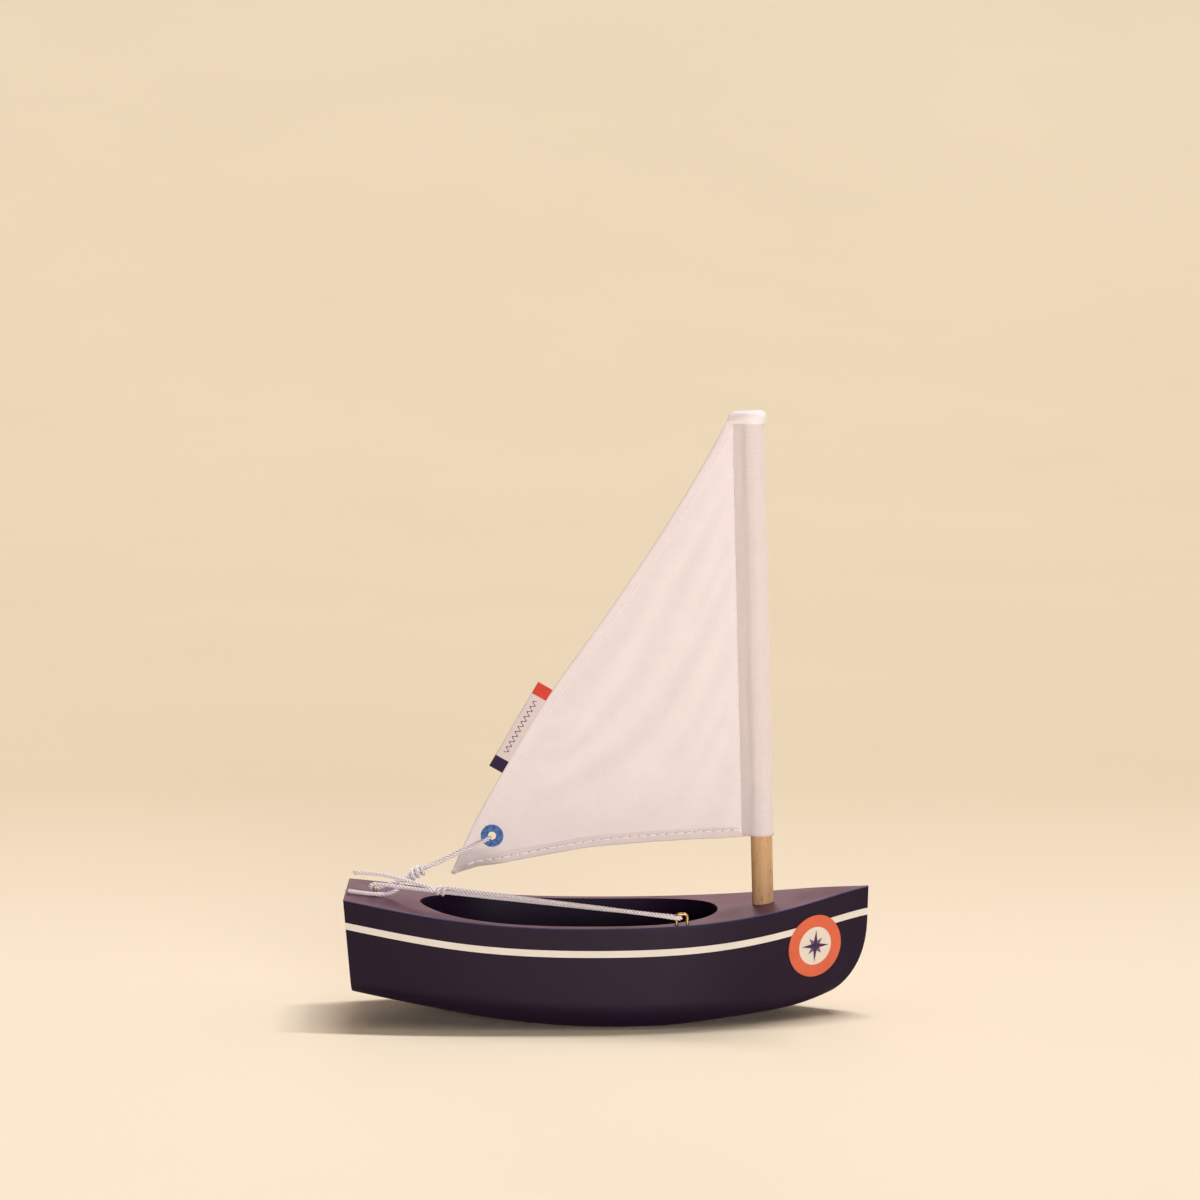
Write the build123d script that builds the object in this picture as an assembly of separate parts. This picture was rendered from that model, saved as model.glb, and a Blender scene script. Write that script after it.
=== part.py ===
from build123d import *
import math
import os

# Small solid-wood toy sailing boat, in millimetres.
# Frame: origin on the table under the middle of the hull, +X to the bow, +Y to port, +Z up.

# ---------------------------------------------------------------- driving dimensions
LENGTH = 170.6            # hull, from transom to stem
SHEER_HEIGHT = 41.6       # top of the bow above the table
MAST_DIAMETER = 7.0
MAST_TOP = 195.8          # height of the mast head above the table
MAST_RAKE = 1.55          # degrees aft
MAST_FOOT_X = 50.8        # where the mast axis meets the deck
MAST_FOOT_Z = 36.1
MAST_STEP_DEPTH = 24.0    # depth of the mast hole below the deck
MAST_FIT = 0.1            # radial clearance of the mast in its hole
AIR = 0.3                 # gap between pieces that move apart
SAIL_FOOT_Z = 58.3        # lower end of the luff sleeve
CLOTH = 0.5               # sail cloth with its hems
SLEEVE_CLOTH = 0.35
WIRE = 1.0                # brass staple wire
CORD = 1.26               # twisted cotton cord
EDGE_ROUND = 0.5          # sanded edge between the deck and the sides
COCKPIT_FLOOR = 15.0      # height of the cockpit floor above the table
WELL_ROUND = 2.0          # where the cockpit walls meet its floor
STRIPE_DROP = 7.1         # pinstripe, below the deck edge
STRIPE_HEIGHT = 2.2
STRIPE_SKIN = 0.15
DECAL_DIAMETER = 20.6
DECAL_SKIN = 0.35

os.makedirs("parts", exist_ok=True)

# ---------------------------------------------------------------- hull
# Offsets: x, half beam at the deck, deck height, keel height, bilge radius, inward slope of the side.
STATIONS = [
    (-90.0, 19.6, 41.6, 11.8, 5.0, 0.05),
    (-70.0, 25.3, 38.5, 8.2, 6.5, 0.04),
    (-48.0, 28.5, 35.3, 4.2, 8.0, 0.03),
    (-24.0, 29.9, 33.4, 0.8, 9.0, 0.03),
    (-3.0, 30.2, 33.0, -0.5, 9.0, 0.03),
    (18.0, 29.1, 33.3, -0.3, 9.0, 0.03),
    (36.0, 26.2, 34.4, 1.4, 8.0, 0.05),
    (51.0, 21.3, 36.1, 2.7, 6.5, 0.09),
    (63.5, 15.3, 38.1, 4.4, 5.0, 0.13),
    (74.5, 8.0, 40.0, 8.0, 3.0, 0.09),
    (85.3, 1.0, SHEER_HEIGHT, 11.5, 0.5, 0.0),
]
ARC_HANDLE = 0.5523       # Bezier handle that rounds a quarter turn
TRANSOM_TOP_X, TRANSOM_LEAN = -LENGTH / 2, 4.7
STEM = [(69.5, 6.0), (72.5, 7.3), (75.8, 9.6), (79.3, 13.1), (82.3, 18.0), (84.2, 24.0), (85.0, 32.0),
        (85.3, 42.0)]


def hull_section(x, beam, deck, keel, bilge, slope, skin=0.0):
    """One cross section of the hull: flat bottom, rounded bilges, nearly upright sides, flat deck."""
    side_foot = keel + bilge
    half = beam - slope * (deck - side_foot) + skin
    bilge_wide = min(bilge, 0.8 * half)
    flat = half - bilge_wide

    def side(sign):
        bilge_points = [
            (x, sign * half, side_foot),
            (x, sign * half, side_foot - ARC_HANDLE * bilge),
            (x, sign * (flat + ARC_HANDLE * bilge_wide), keel),
            (x, sign * flat, keel),
        ]
        return Line((x, sign * (beam + skin), deck), bilge_points[0]), Bezier(*bilge_points)

    starboard, starboard_bilge = side(-1)
    port, port_bilge = side(1)
    bottom = Line((x, -flat, keel), (x, flat, keel))
    deck_line = Line((x, beam + skin, deck), (x, -beam - skin, deck))
    edges = [starboard, starboard_bilge, bottom, port_bilge, port, deck_line]
    return Face(Wire([edge.edge() for edge in edges]))


def box_between(low, high):
    """A box from its lowest to its highest corner."""
    size = [b - a for a, b in zip(low, high)]
    return Pos(*low) * Box(*size, align=(Align.MIN, Align.MIN, Align.MIN))


def side_prism(outline, half_width=40.0):
    """A prism across the boat whose side view is the closed outline given."""
    face = make_face(Plane.XZ * outline)
    return extrude(face, half_width, both=True)


def curve(points):
    """A smooth curve through side-view points."""
    return Spline(*points)


lean = math.tan(math.radians(TRANSOM_LEAN))
transom_cut = side_prism(Polyline(
    (TRANSOM_TOP_X - lean * 10, 51), (TRANSOM_TOP_X + lean * 51, -10), (-120, -10), (-120, 51), close=True))
stem_curve = curve(STEM)
stem_cut = side_prism(
    stem_curve + Polyline(STEM[-1], (85.3, 60), (110, 60), (110, -10), (69.5, -10), STEM[0]))
table = box_between((-120, -60, -10), (120, 60, 0))


def hull_block(skin=0.0):
    """The outside of the hull, whole, or grown sideways by a skin's thickness."""
    block = loft([hull_section(*row, skin=skin) for row in STATIONS])
    return block - transom_cut - stem_cut - table


plain_hull = hull_block()


def mast_axis_point(height):
    """The point of the raked mast axis at a height above the table."""
    return Vector(MAST_FOOT_X - math.tan(math.radians(MAST_RAKE)) * (height - MAST_FOOT_Z), 0, height)


rake = math.radians(MAST_RAKE)
mast_direction = Vector(-math.sin(rake), 0, math.cos(rake))
aft_direction = Vector(-math.cos(rake), 0, -math.sin(rake))


def mast_plane(height):
    """A plane square to the mast, with its x pointing aft."""
    return Plane(origin=mast_axis_point(height), x_dir=aft_direction, z_dir=mast_direction)


def mast_rod(radius, bottom, top):
    """A round bar along the mast axis between two heights."""
    length = (top - bottom) / math.cos(rake)
    return mast_plane(bottom) * Cylinder(radius, length, align=(Align.CENTER, Align.CENTER, Align.MIN))


# Cockpit: a routed well with rounded ends and a flat floor.
WELL_HALF = [(-61.2, 0), (-59.0, 8.8), (-49.5, 20.0), (-36.0, 24.6), (-12.0, 25.8), (8.0, 25.2),
             (22.0, 22.2), (32.4, 13.6), (35.9, 0)]
well_outline = Spline(*WELL_HALF, *[(x, -y) for x, y in WELL_HALF[-2:0:-1]], periodic=True)
well = extrude(Pos(0, 0, COCKPIT_FLOOR) * make_face(well_outline), 40)
well = fillet(well.edges().group_by(Axis.Z)[0], WELL_ROUND)

mast_hole = mast_rod(MAST_DIAMETER / 2 + MAST_FIT, MAST_FOOT_Z - MAST_STEP_DEPTH, 60)


# ---------------------------------------------------------------- brass staples
def staple(centre, along, width, rise, root):
    """A driven wire staple: two legs a width apart, with a round crown."""
    across = Vector(*along) * (width / 2)
    bend = 1.1
    up = Vector(0, 0, 1)
    foot = Vector(*centre)
    corners = [foot - across - up * root, foot - across + up * rise,
               foot + across + up * rise, foot + across - up * root]
    path = FilletPolyline(*corners, radius=bend)
    start = Plane(origin=corners[0], z_dir=up)
    return sweep(start * Circle(WIRE / 2), path.wire())


STAPLE_WIDTH, STAPLE_ROOT = 3.5, 6.0
STERN_STAPLE = (-75.9, 0, 39.2)
GUNWALE_STAPLE = (23.3, -25.6, 33.5)
stern_staple = staple(STERN_STAPLE, (0, 1, 0), STAPLE_WIDTH, 3.5, STAPLE_ROOT)
gunwale_staple = staple(GUNWALE_STAPLE, (1, 0, 0), STAPLE_WIDTH, 3.4, STAPLE_ROOT)

# ---------------------------------------------------------------- ballast under the cockpit
SLUG_DIAMETER, SLUG_LENGTH, PLUG_LENGTH = 12.0, 7.0, 3.0
SLUG_X = {"aft": -4.0, "fore": 14.0}


def slug(x):
    """A steel slug that fills the upper part of its blind hole."""
    return Pos(x, 0, PLUG_LENGTH) * Cylinder(
        SLUG_DIAMETER / 2, SLUG_LENGTH, align=(Align.CENTER, Align.CENTER, Align.MIN))


def plug(x):
    """A wooden plug that closes the hole flush with the flat of the keel."""
    return Pos(x, 0, 0) * Cylinder(
        SLUG_DIAMETER / 2, PLUG_LENGTH, align=(Align.CENTER, Align.CENTER, Align.MIN))


slugs = {f"ballast_slug_{place}": slug(x) for place, x in SLUG_X.items()}
plugs = {f"ballast_plug_{place}": plug(x) for place, x in SLUG_X.items()}

long_edges = [edge for edge in plain_hull.edges() if edge.length > LENGTH]
sheer_edges = [edge for edge in long_edges if edge.center().Z > COCKPIT_FLOOR]
hull = fillet(sheer_edges, EDGE_ROUND) - well - mast_hole - stern_staple - gunwale_staple
for piece in [*slugs.values(), *plugs.values()]:
    hull = hull - piece

# ---------------------------------------------------------------- pinstripe and bow decals
DECAL_CENTRE = (66.9, -11.2, 23.9)
DECAL_YAW, DECAL_TILT = 33.0, 7.6     # the bow side turns away forward and leans in downward


def band_curve(drop):
    """A side-view curve a fixed drop below the deck edge."""
    return curve([(x, deck - drop) for x, beam, deck, *rest in STATIONS])


band_top, band_bottom = band_curve(STRIPE_DROP), band_curve(STRIPE_DROP + STRIPE_HEIGHT)
band_ends = Line(band_top @ 0, band_bottom @ 0) + Line(band_top @ 1, band_bottom @ 1)
band = side_prism(band_top + band_bottom + band_ends)
starboard_half = box_between((-100, -60, -5), (100, 0, 60))


def decal_core(side):
    """A cylinder through the bow side at the decal, square to the surface there."""
    yaw, tilt = math.radians(DECAL_YAW), math.radians(DECAL_TILT)
    outward = Vector(math.sin(yaw) * math.cos(tilt), -side * math.cos(yaw) * math.cos(tilt), -math.sin(tilt))
    x, y, z = DECAL_CENTRE
    return Plane(origin=(x, side * y, z), z_dir=outward) * Cylinder(DECAL_DIAMETER / 2, 12)


stripes = (hull_block(STRIPE_SKIN) & band) - plain_hull
decal_skin = hull_block(DECAL_SKIN)
stripe_starboard = stripes & starboard_half
stripe_port = stripes - starboard_half
decal_starboard = (decal_skin & decal_core(1) & starboard_half) - plain_hull - stripe_starboard
decal_port = (decal_skin & decal_core(-1)) - starboard_half - plain_hull - stripe_port

# ---------------------------------------------------------------- mast
MAST_CHAMFER = 0.6
mast = mast_rod(MAST_DIAMETER / 2, MAST_FOOT_Z - MAST_STEP_DEPTH + AIR, MAST_TOP)
mast = chamfer(mast.edges().group_by(Axis.Z)[0] + mast.edges().group_by(Axis.Z)[-1], MAST_CHAMFER)

# ---------------------------------------------------------------- sail
SEAM_AFT = 6.3            # seam of the luff sleeve, aft of the mast axis
HEAD_BOTTOM, HEAD_TOP = 193.0, 197.1
LEECH = [(38.7, 193.8), (28.0, 174.5), (14.0, 152.0), (-2.5, 127.7), (-17.5, 106.5), (-32.4, 82.4),
         (-43.6, 62.3), (-51.2, 45.6)]
CLEW_TIP = (-50.0, 44.8)
FOOT = [CLEW_TIP, (-39.8, 48.3), (-24.8, 51.4), (-6.1, 54.6), (20.0, 56.7), (44.5, 57.8)]
EYELET = (-37.7, 58.5)
EYELET_OUTER, EYELET_HOLE, EYELET_THICK = 7.1, 2.9, 1.5
LABEL_TOP, LABEL_BOTTOM, LABEL_OUT = (-18.0, 106.2), (-34.0, 78.9), 5.0
LABEL_THICK = 1.1


def teardrop(radius, point_aft):
    """The sleeve's section: round at the mast, drawn out aft to the seam."""
    turn = math.acos(radius / point_aft)
    touch = (radius * math.cos(turn), radius * math.sin(turn))
    below = (touch[0], -touch[1])
    round_front = ThreePointArc(touch, (-radius, 0), below)
    return make_face(Line((point_aft, 0), touch) + round_front + Line(below, (point_aft, 0)))


def luff_solid(radius, point_aft, bottom, top):
    """A teardrop bar along the mast between two heights."""
    length = (top - bottom) / math.cos(rake)
    return extrude(mast_plane(bottom) * teardrop(radius, point_aft), length)


inner_radius = MAST_DIAMETER / 2 + AIR
outer_radius = inner_radius + SLEEVE_CLOTH
sleeve_outer = luff_solid(outer_radius, SEAM_AFT + 0.5, SAIL_FOOT_Z - 2, HEAD_TOP - 0.7)
sleeve_inner = luff_solid(inner_radius, SEAM_AFT - 0.5, SAIL_FOOT_Z - 4, HEAD_TOP - 0.7)
below_foot = box_between((0, -20, 40), (80, 20, SAIL_FOOT_Z))
luff_sleeve = sleeve_outer - sleeve_inner - below_foot

head_plate = Pos(45.6, 0, HEAD_BOTTOM) * extrude(SlotOverall(13.9, 9.9), HEAD_TOP - HEAD_BOTTOM)
head_plate = fillet(head_plate.edges().group_by(Axis.Z)[-1], 1.4)
sail_head = head_plate - luff_solid(outer_radius, SEAM_AFT + 0.5, HEAD_BOTTOM - 2, HEAD_TOP - 0.7)

seam_top, seam_foot = mast_axis_point(HEAD_BOTTOM), mast_axis_point(SAIL_FOOT_Z)
luff_top = (seam_top.X - SEAM_AFT + 1.0, HEAD_BOTTOM + 0.4)
luff_foot = (seam_foot.X - SEAM_AFT + 1.0, SAIL_FOOT_Z - 0.4)
panel_outline = (curve(LEECH) + Line(LEECH[-1], CLEW_TIP) + curve(FOOT) + Line(FOOT[-1], luff_foot)
                 + Line(luff_foot, luff_top) + Line(luff_top, LEECH[0]))
panel = side_prism(panel_outline, CLOTH / 2)


def eyelet_plane():
    """The plane of the eyelet, seen from starboard."""
    return Plane(origin=(EYELET[0], 0, EYELET[1]), x_dir=(1, 0, 0), z_dir=(0, -1, 0))


def eyelet_bar(diameter, length):
    """A round bar through the eyelet."""
    return eyelet_plane() * Cylinder(diameter / 2, length)


ring_middle = (EYELET_OUTER + EYELET_HOLE) / 4
ring_half = (EYELET_OUTER - EYELET_HOLE) / 4
ring_section = Plane(origin=(EYELET[0], 0, EYELET[1]), x_dir=(1, 0, 0), z_dir=(0, 0, 1)) * (
    Pos(ring_middle, 0) * Ellipse(ring_half, EYELET_THICK / 2))
eyelet_axis = Axis((EYELET[0], 0, EYELET[1]), (0, 1, 0))
eyelet_solid = revolve(ring_section, eyelet_axis, 360)
panel = panel - eyelet_bar(EYELET_HOLE + 2.4, 6)
clew_eyelet = eyelet_solid - panel

label_run = Vector(LABEL_TOP[0] - LABEL_BOTTOM[0], 0, LABEL_TOP[1] - LABEL_BOTTOM[1])
label_out = Vector(-label_run.Z, 0, label_run.X).normalized()
label_in = 1.6            # how far the folded label reaches over the sail


def label_corner(end, out):
    """A corner of the label, a distance out from the leech."""
    return (end[0] + label_out.X * out, end[1] + label_out.Z * out)


label_outline = Polyline(
    label_corner(LABEL_BOTTOM, -label_in), label_corner(LABEL_BOTTOM, LABEL_OUT),
    label_corner(LABEL_TOP, LABEL_OUT), label_corner(LABEL_TOP, -label_in), close=True)
leech_label = side_prism(label_outline, LABEL_THICK / 2) - panel
sail_panel = panel - sleeve_outer - sleeve_inner - head_plate

# ---------------------------------------------------------------- cord
# One cotton cord, about 350 mm: knotted to the clew, round the stern staple, forward to the gunwale
# staple, back to a sliding hitch on itself. Each list is a stretch of its centreline.
LOOP_HALF = 1.45          # half the gap between the two legs of the clew loop
LOOP = [(-59.4, -0.85, 47.7), (-50.0, -1.1, 52.2), (-38.3, -LOOP_HALF, 58.2),
        (-38.3, LOOP_HALF, 58.2), (-50.0, 1.1, 52.2), (-59.4, 0.85, 47.7)]
LEAD = [(-63.9, 0.0, 45.4), (-69.4, 0.2, 43.0), (-75.0, -0.3, 41.3), (-77.4, -0.8, 41.6),
        (-77.4, -2.8, 42.5), (-75.0, -3.3, 42.8), (-56.2, -7.4, 41.1)]
SHEET_BEND_Y = -1.85      # the middle of the turn behind the stern staple
FALL = [(-52.6, -8.2, 40.9), (22.8, -24.2, 35.7), (22.8, -27.2, 35.7), (-52.6, -8.5, 42.5)]
HITCH_TAIL = [(-56.2, -7.2, 42.6), (-62.2, -5.2, 43.6), (-70.5, -2.6, 45.6), (-77.0, -0.8, 46.4),
              (-82.2, 0.6, 46.2)]
KNOT_TAIL = [(-63.9, -0.9, 44.6), (-67.4, -2.2, 41.7), (-71.2, -4.0, 39.8), (-77.6, -6.6, 40.4),
             (-84.2, -7.2, 41.6)]


def corner_radii(points, share=0.45):
    """The radius of each corner: a share of its shorter run over the tangent of half its turn."""
    spots = [Vector(*p) for p in points]
    radii = []
    for before, corner, after in zip(spots, spots[1:], spots[2:]):
        into, out = corner - before, after - corner
        half_turn = math.radians(into.get_angle(out)) / 2
        radii.append(share * min(into.length, out.length) / math.tan(half_turn))
    return radii


def cord_tube(name, points, diameter=CORD):
    """A plain tube along straight runs joined by tangent arcs."""
    radii = corner_radii(points)
    path = FilletPolyline(*points, radius=radii).wire()
    start = Plane(origin=points[0], z_dir=Vector(*points[1]) - Vector(*points[0]))
    tube = sweep(start * Circle(diameter / 2), path)
    share = tube.volume / (math.pi * diameter ** 2 / 4 * path.length)
    shown = [round(r, 1) for r in radii]
    print(f"{name}: length {path.length:.1f}, radii {shown}, volume share {share:.3f}")
    return tube


def barrel(low, high, radius):
    """A round-ended closed solid between two points, for a knot."""
    low, high = Vector(*low), Vector(*high)
    body = Plane(origin=low, z_dir=high - low) * Cylinder(
        radius, (high - low).length, align=(Align.CENTER, Align.CENTER, Align.MIN))
    return fillet(body.edges().filter_by(GeomType.CIRCLE), radius * 0.4)


clew_loop = cord_tube("clew_loop", LOOP)
sheet_run = cord_tube("sheet_lead with sheet_standing", LEAD)
sheet_fall = cord_tube("sheet_fall", FALL)
hitch_tail = cord_tube("hitch_tail", HITCH_TAIL)
knot_tail = cord_tube("knot_tail", KNOT_TAIL)
clew_knot = barrel((-64.8, 0.0, 45.0), (-59.6, 0.0, 47.7), 2.0)
slide_hitch = barrel((-56.4, -7.4, 41.5), (-52.4, -8.3, 41.3), 2.0)
behind_staple = box_between((-100, SHEET_BEND_Y, 30), (0, 20, 60))
sheet_lead = (sheet_run & behind_staple) - clew_knot
sheet_standing = sheet_run - behind_staple - slide_hitch
sheet_fall = sheet_fall - slide_hitch
hitch_tail = hitch_tail - slide_hitch
knot_tail = knot_tail - clew_knot

# ---------------------------------------------------------------- files
nodes = {
    "hull": hull,
    **slugs,
    **plugs,
    "stern_staple": stern_staple,
    "gunwale_staple": gunwale_staple,
    "stripe_starboard": stripe_starboard,
    "stripe_port": stripe_port,
    "decal_starboard": decal_starboard,
    "decal_port": decal_port,
    "mast": mast,
    "luff_sleeve": luff_sleeve,
    "sail_head": sail_head,
    "sail_panel": sail_panel,
    "clew_eyelet": clew_eyelet,
    "leech_label": leech_label,
    "clew_loop": clew_loop,
    "clew_knot": clew_knot,
    "sheet_lead": sheet_lead,
    "sheet_standing": sheet_standing,
    "sheet_fall": sheet_fall,
    "slide_hitch": slide_hitch,
    "hitch_tail": hitch_tail,
    "knot_tail": knot_tail,
}
for name, shape in nodes.items():
    export_step(shape, f"parts/{name}.step")
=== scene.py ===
import math
import random

import bpy
import numpy as np
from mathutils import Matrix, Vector, geometry
from mathutils.bvhtree import BVHTree


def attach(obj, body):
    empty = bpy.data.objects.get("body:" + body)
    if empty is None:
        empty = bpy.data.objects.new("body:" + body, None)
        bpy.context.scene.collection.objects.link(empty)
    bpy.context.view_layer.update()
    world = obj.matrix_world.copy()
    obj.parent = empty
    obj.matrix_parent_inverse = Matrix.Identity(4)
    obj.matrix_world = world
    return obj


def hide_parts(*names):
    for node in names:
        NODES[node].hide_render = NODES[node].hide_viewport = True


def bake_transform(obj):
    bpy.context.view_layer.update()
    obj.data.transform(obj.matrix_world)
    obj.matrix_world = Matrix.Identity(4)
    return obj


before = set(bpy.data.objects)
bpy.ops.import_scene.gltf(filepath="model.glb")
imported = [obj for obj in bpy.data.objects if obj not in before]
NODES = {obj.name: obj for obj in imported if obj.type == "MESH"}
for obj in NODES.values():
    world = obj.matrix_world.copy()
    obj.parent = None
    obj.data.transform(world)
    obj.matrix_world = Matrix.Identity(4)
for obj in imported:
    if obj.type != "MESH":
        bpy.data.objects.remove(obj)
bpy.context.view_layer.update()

# Small wooden toy sailing boat: its looks. Shapes are worked out in millimetres in the row frame
# (+X to the bow, +Y to port, +Z up) and turned into metres where a mesh or curve is made.
MM = 0.001

# ------------------------ sizes shared with the CAD model
MAST_RAKE = math.radians(1.55)
MAST_FOOT = np.array([50.8, 0.0, 36.1])
MAST_UP = np.array([-math.sin(MAST_RAKE), 0.0, math.cos(MAST_RAKE)])
MAST_AFT = np.array([-math.cos(MAST_RAKE), 0.0, -math.sin(MAST_RAKE)])
PORT = np.array([0.0, 1.0, 0.0])
SAIL_FOOT_Z = 58.3
SEAM_AFT = 6.3            # seam of the luff sleeve, aft of the mast axis
CORD = 1.26               # diameter of the twisted cord
EYELET = (-37.7, 58.5)
EYELET_OUTER, EYELET_HOLE = 7.1, 2.9


# ------------------------ camera
def make_camera():
    """The camera stands to starboard, a little over a metre off and above the sail's head."""
    lens = bpy.data.cameras.new("camera")
    lens.sensor_width = 36.0
    lens.lens = 111.53
    camera = put_in_scene("camera", lens)
    turn = math.radians(-1.0)
    camera.location = (-0.0025 * math.cos(turn) + 1.2 * math.sin(turn), -1.2 * math.cos(turn), 0.2511)
    camera.rotation_euler = (math.radians(90 - 5.5), 0, turn)
    bpy.context.scene.camera = camera


# ------------------------ small helpers
def smooth_step(value, low=0.0, high=1.0):
    """0 below low, 1 above high, smooth between."""
    share = np.clip((np.asarray(value, float) - low) / (high - low), 0.0, 1.0)
    return share * share * (3 - 2 * share)


def smooth_line(points, count):
    """Evenly spaced points on a smooth curve through a few points."""
    spots = np.array(points, float)
    padded = np.vstack([2 * spots[0] - spots[1], spots, 2 * spots[-1] - spots[-2]])
    dense = []
    for a, b, c, d in zip(padded, padded[1:], padded[2:], padded[3:]):
        for t in np.linspace(0, 1, 24, endpoint=False):
            dense.append(0.5 * (2 * b + (c - a) * t + (2 * a - 5 * b + 4 * c - d) * t ** 2
                                + (3 * b - a - 3 * c + d) * t ** 3))
    dense.append(spots[-1])
    return even_line(np.array(dense), count)


def even_line(points, count):
    """The same line, with evenly spaced points."""
    along = distances(points)
    wanted = np.linspace(0, along[-1], count)
    return np.stack([np.interp(wanted, along, points[:, k]) for k in range(points.shape[1])], axis=1)


def unit(vector):
    """The vector at length one."""
    return vector / np.linalg.norm(vector)


def distances(line):
    """How far along a line each of its points is."""
    return np.concatenate([[0], np.cumsum(np.linalg.norm(np.diff(line, axis=0), axis=1))])


def headings(line):
    """The direction of a line at each of its points."""
    steps = np.gradient(line, axis=0)
    return steps / np.linalg.norm(steps, axis=1)[:, None]


def uneven(places, step, low, high, seed):
    """Random numbers that change gently from place to place, with a new one drawn at each step."""
    chance = random.Random(seed)
    knots = np.arange(0, places[-1] + step, step)
    return np.interp(places, knots, [chance.uniform(low, high) for _ in knots])


def put_in_scene(name, data):
    """A new object in the scene."""
    made = bpy.data.objects.new(name, data)
    bpy.context.scene.collection.objects.link(made)
    return made


class Shape:
    """Collects the points, faces and cloth coordinates of one mesh."""

    def __init__(self):
        self.points, self.faces, self.uvs = [], [], []

    def grid(self, rows, uv_rows, closed=False):
        """Quads between rows of points; closed joins each row's ends."""
        base, width = sum(len(p) for p in self.points), len(rows[0])
        for row, uv_row in zip(rows, uv_rows):
            self.points.append(np.asarray(row, float))
            self.uvs.append(np.asarray(uv_row, float))
        for r in range(len(rows) - 1):
            for c in range(width if closed else width - 1):
                a, b = base + r * width + c, base + r * width + (c + 1) % width
                self.faces.append((a, b, b + width, a + width))
        return base

    def cap(self, ring_start, width, tip, uv, flip=False):
        """Closes a ring of points with a fan to one tip."""
        self.points.append(np.array([tip], float))
        self.uvs.append(np.array([uv], float))
        centre = sum(len(p) for p in self.points) - 1
        for c in range(width):
            a, b = ring_start + c, ring_start + (c + 1) % width
            self.faces.append((b, a, centre) if flip else (a, b, centre))

    def tube(self, path, radius, sides=8, shift=0.0):
        """A round thread along a short path, with domed ends; shift moves its fibres along."""
        path = np.asarray(path, float)
        radii = np.full(len(path), radius) if np.isscalar(radius) else np.asarray(radius, float)
        sides_of = frames_along(path)
        angles = np.linspace(0, 2 * math.pi, sides, endpoint=False)
        along = distances(path)
        rows, uv_rows = [], []
        for spot, (across, over), r, s in zip(path, sides_of, radii, along):
            rows.append([spot + r * (math.cos(t) * across + math.sin(t) * over) for t in angles])
            uv_rows.append([(s + shift, t) for t in angles])
        base = self.grid(rows, uv_rows, closed=True)
        lead_in = unit(path[0] - path[1]) * radii[0] * 0.7
        lead_out = unit(path[-1] - path[-2]) * radii[-1] * 0.7
        self.cap(base, sides, path[0] + lead_in, (0, 0), flip=True)
        self.cap(base + (len(path) - 1) * sides, sides, path[-1] + lead_out, (along[-1], 0))

    def make(self, name):
        """The mesh object, in metres."""
        points = np.vstack(self.points) * MM
        uvs = np.vstack(self.uvs)
        mesh = bpy.data.meshes.new(name)
        mesh.from_pydata(points.tolist(), [], self.faces)
        layer = mesh.uv_layers.new(name="cloth")
        corners = np.zeros(len(mesh.loops), int)
        mesh.loops.foreach_get("vertex_index", corners)
        layer.data.foreach_set("uv", uvs[corners].ravel())
        mesh.polygons.foreach_set("use_smooth", [True] * len(mesh.polygons))
        mesh.update()
        return put_in_scene(name, mesh)


def frames_along(path):
    """Two directions across the path at each point, turning as little as possible."""
    ahead = headings(path)
    start = np.cross(ahead[0], (0.3, 0.2, 0.93))
    across = unit(start)
    frames = []
    for direction in ahead:
        across = unit(across - direction * np.dot(across, direction))
        frames.append((across, np.cross(direction, across)))
    return frames


def dress(piece, body, material):
    """Gives a piece its material and the body it moves with."""
    piece.data.materials.append(material)
    if body:
        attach(piece, body)
    return piece


def thicken(piece, thickness, offset=0.0, even=True):
    """Gives a sheet its thickness, in millimetres; even keeps it at sharp folds."""
    shell = piece.modifiers.new("thickness", "SOLIDIFY")
    shell.thickness = thickness * MM
    shell.offset = offset
    shell.use_even_offset = even


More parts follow.
